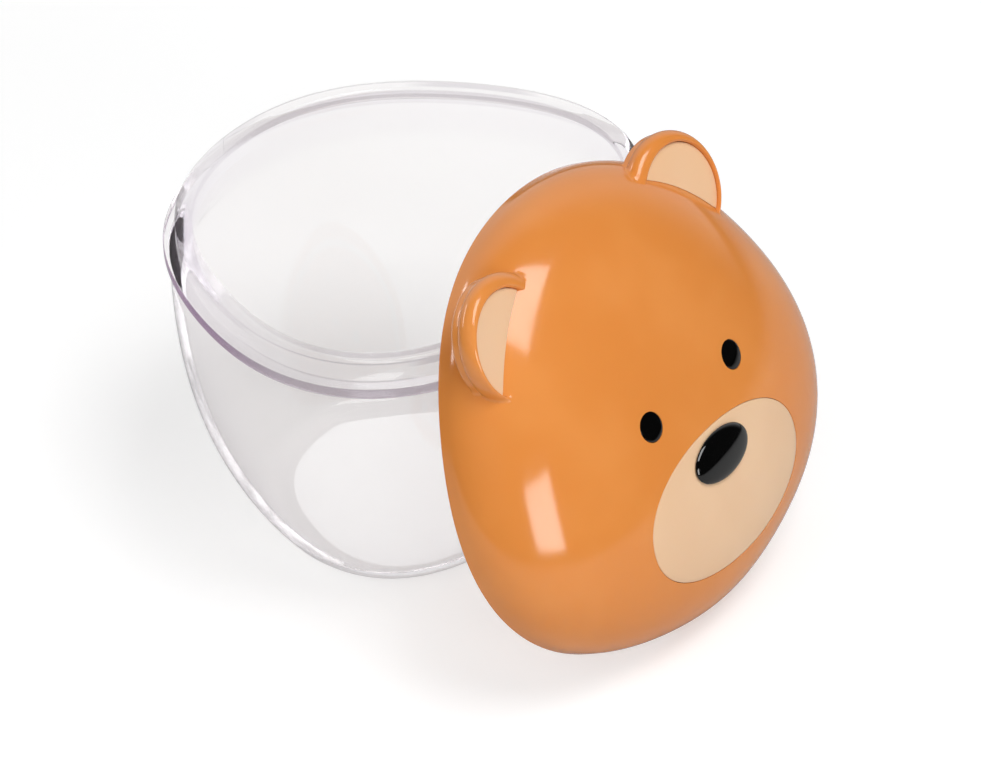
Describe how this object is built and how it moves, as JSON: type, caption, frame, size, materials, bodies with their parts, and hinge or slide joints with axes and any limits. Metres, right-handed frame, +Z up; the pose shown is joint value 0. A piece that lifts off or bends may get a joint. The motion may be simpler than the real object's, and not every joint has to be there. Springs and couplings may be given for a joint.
{
  "type": "toddler snack container",
  "caption": "Clear rounded snack jar with a flange and neck, and a glossy bear-faced lid that leans off it on the floor.",
  "frame": {"origin": "middle of the jar's flat base", "axes": "+Z up; -Y from the jar towards the lid that leans on it; +X to the right, seen from in front of the lid"},
  "size_m": [0.1068, 0.1305, 0.0859],
  "materials": {
    "clear_plastic": "clear, smooth and glossy, with a faint violet tint where it is thick",
    "orange_plastic": "polished moulded plastic",
    "muzzle_plastic": "satin moulded plastic",
    "ear_panel_plastic": "satin moulded plastic",
    "black_plastic": "polished moulded plastic",
    "seal_silicone": "matt translucent silicone"
  },
  "bodies": {
    "jar": {"jar": "clear_plastic"},
    "lid": {"lid_shell": "orange_plastic", "seal_ring": "seal_silicone", "muzzle": "muzzle_plastic", "nose": "black_plastic", "left_eye": "black_plastic", "right_eye": "black_plastic", "left_ear_panel": "ear_panel_plastic", "right_ear_panel": "ear_panel_plastic"}
  },
  "joints": [
    {"name": "lid_lift", "type": "slide", "parent": "jar", "child": "lid", "axis": [0, -0.8763, 0.4818], "range_m": [0, 0.06]}
  ]
}
